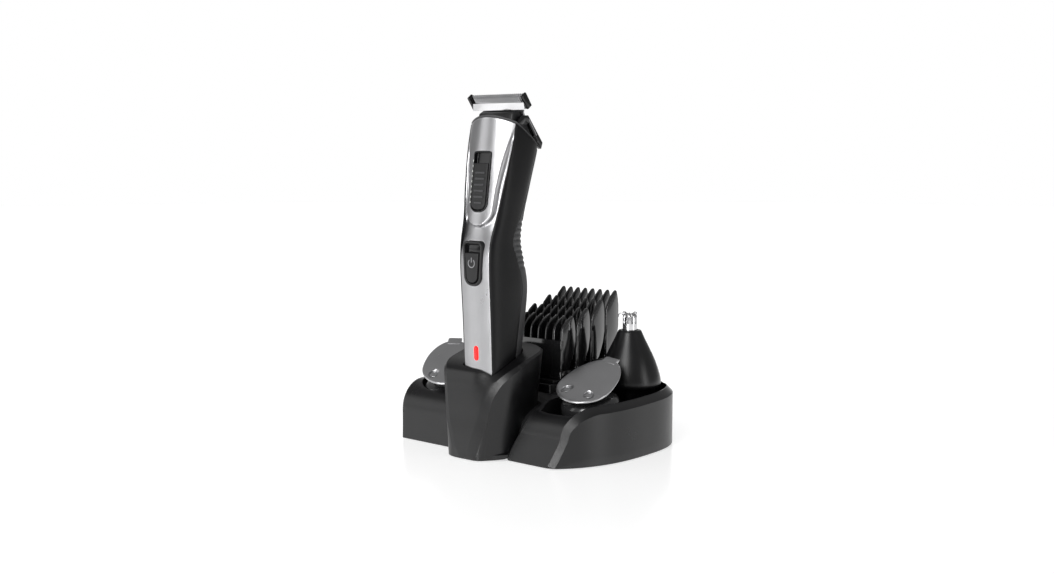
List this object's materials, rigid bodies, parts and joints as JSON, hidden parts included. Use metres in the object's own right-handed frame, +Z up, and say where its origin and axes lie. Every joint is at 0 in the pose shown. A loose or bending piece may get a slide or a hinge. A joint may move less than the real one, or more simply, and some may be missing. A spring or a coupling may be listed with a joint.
{
  "type": "beard trimmer",
  "caption": "Cordless T-blade beard trimmer standing in a charging stand, with spare nose and precision heads in wells and clip-on guide combs in a rack behind it.",
  "frame": {"origin": "on the table under the middle of the stand's outline", "axes": "+Z up, -Y is the front, +X is to the right of someone facing the front"},
  "size_m": [0.1226, 0.1148, 0.1774],
  "materials": {
    "black_plastic": "satin moulded black",
    "gloss_black": "polished black",
    "grey_rubber": "matt dark grey, soft touch",
    "silver_paint": "satin silver paint on plastic",
    "steel": "ground and brushed",
    "brass": "plated contact",
    "red_lens": "clear red, lit from behind",
    "white_plastic": "natural acetal",
    "board_green": "solder mask on glass fibre",
    "battery_wrap": "shrink wrap"
  },
  "bodies": {
    "stand": {"stand_shell": "black_plastic", "handset_cradle": "black_plastic", "left_tray": "black_plastic", "right_tray": "black_plastic", "base_plate": "black_plastic", "base_screw_1": "steel", "base_screw_2": "steel", "base_screw_3": "steel", "rubber_foot_1": "grey_rubber", "rubber_foot_2": "grey_rubber", "rubber_foot_3": "grey_rubber", "rubber_foot_4": "grey_rubber", "charging_pins": "brass", "charging_board": "board_green", "dc_power_jack": "black_plastic", "comb_rack": "black_plastic"},
    "handset": {"front_panel": "silver_paint", "body_shell": "black_plastic", "back_grip": "grey_rubber", "end_cap": "black_plastic", "charge_contacts": "brass", "slider_track": "gloss_black", "switch_bezel": "black_plastic", "charge_lens": "red_lens", "motor_can": "steel", "motor_cradle": "black_plastic", "circuit_board": "board_green", "battery_cell": "battery_wrap", "battery_holder": "steel", "charge_led": "white_plastic", "neck_plate": "black_plastic"},
    "power_switch": {"power_switch": "black_plastic"},
    "length_slider": {"length_slider": "black_plastic"},
    "motor_rotor": {"motor_shaft": "steel", "eccentric_wheel": "white_plastic"},
    "trimmer_head": {"fixed_blade": "steel", "blade_guard_left": "gloss_black", "blade_guard_right": "gloss_black", "blade_spring": "steel", "blade_screw_left": "steel", "blade_screw_right": "steel", "head_body": "black_plastic", "head_frame": "grey_rubber"},
    "trimmer_cutter": {"moving_blade": "steel", "blade_carrier": "white_plastic"},
    "nose_head": {"nose_cone": "black_plastic", "nose_tip": "steel"},
    "nose_cutter": {"nose_cutter": "steel"},
    "precision_head_right": {"precision_base_right": "black_plastic", "precision_plate_right": "silver_paint", "precision_blade_right": "steel"},
    "precision_cutter_right": {"precision_cutter_right": "steel"},
    "precision_head_left": {"precision_base_left": "black_plastic", "precision_plate_left": "silver_paint", "precision_blade_left": "steel"},
    "precision_cutter_left": {"precision_cutter_left": "steel"},
    "comb_3mm": {"comb_3mm": "gloss_black"},
    "comb_6mm": {"comb_6mm": "gloss_black"},
    "comb_9mm": {"comb_9mm": "gloss_black"},
    "comb_12mm": {"comb_12mm": "gloss_black"}
  },
  "joints": [
    {"name": "handset_lift", "type": "slide", "parent": "stand", "child": "handset", "axis": [0, 0, 1], "range_m": [0, 0.06]},
    {"name": "power_switch_slide", "type": "slide", "parent": "handset", "child": "power_switch", "axis": [0, 0.0068, 1], "range_m": [0, 0.004]},
    {"name": "length_slider_slide", "type": "slide", "parent": "handset", "child": "length_slider", "axis": [0, 0.1345, 0.9909], "range_m": [0, 0.0045]},
    {"name": "motor_spin", "type": "hinge", "parent": "handset", "child": "motor_rotor", "pos_m": [0, -0.037, 0.121], "axis": [0, 0.309, 0.9511], "continuous": true},
    {"name": "head_release", "type": "slide", "parent": "handset", "child": "trimmer_head", "axis": [0, 0.309, 0.9511], "range_m": [0, 0.018]},
    {"name": "cutter_stroke", "type": "slide", "parent": "trimmer_head", "child": "trimmer_cutter", "axis": [1, 0, 0], "range_m": [-0.0012, 0.0012]},
    {"name": "nose_head_lift", "type": "slide", "parent": "stand", "child": "nose_head", "axis": [0, 0, 1], "range_m": [0, 0.03]},
    {"name": "nose_cutter_spin", "type": "hinge", "parent": "nose_head", "child": "nose_cutter", "pos_m": [0.035, 0.0283, 0.05], "axis": [0, 0, 1], "continuous": true},
    {"name": "precision_head_right_lift", "type": "slide", "parent": "stand", "child": "precision_head_right", "axis": [0, 0, 1], "range_m": [0, 0.025]},
    {"name": "precision_cutter_right_stroke", "type": "slide", "parent": "precision_head_right", "child": "precision_cutter_right", "axis": [0.9659, -0.2588, 0], "range_m": [-0.0008, 0.0008]},
    {"name": "precision_head_left_lift", "type": "slide", "parent": "stand", "child": "precision_head_left", "axis": [0, 0, 1], "range_m": [0, 0.025]},
    {"name": "precision_cutter_left_stroke", "type": "slide", "parent": "precision_head_left", "child": "precision_cutter_left", "axis": [0.848, 0.5299, 0], "range_m": [-0.0008, 0.0008]},
    {"name": "comb_3mm_lift", "type": "slide", "parent": "stand", "child": "comb_3mm", "axis": [0, 0, 1], "range_m": [0, 0.045]},
    {"name": "comb_6mm_lift", "type": "slide", "parent": "stand", "child": "comb_6mm", "axis": [0, 0, 1], "range_m": [0, 0.045]},
    {"name": "comb_9mm_lift", "type": "slide", "parent": "stand", "child": "comb_9mm", "axis": [0, 0, 1], "range_m": [0, 0.045]},
    {"name": "comb_12mm_lift", "type": "slide", "parent": "stand", "child": "comb_12mm", "axis": [0, 0, 1], "range_m": [0, 0.045]}
  ]
}
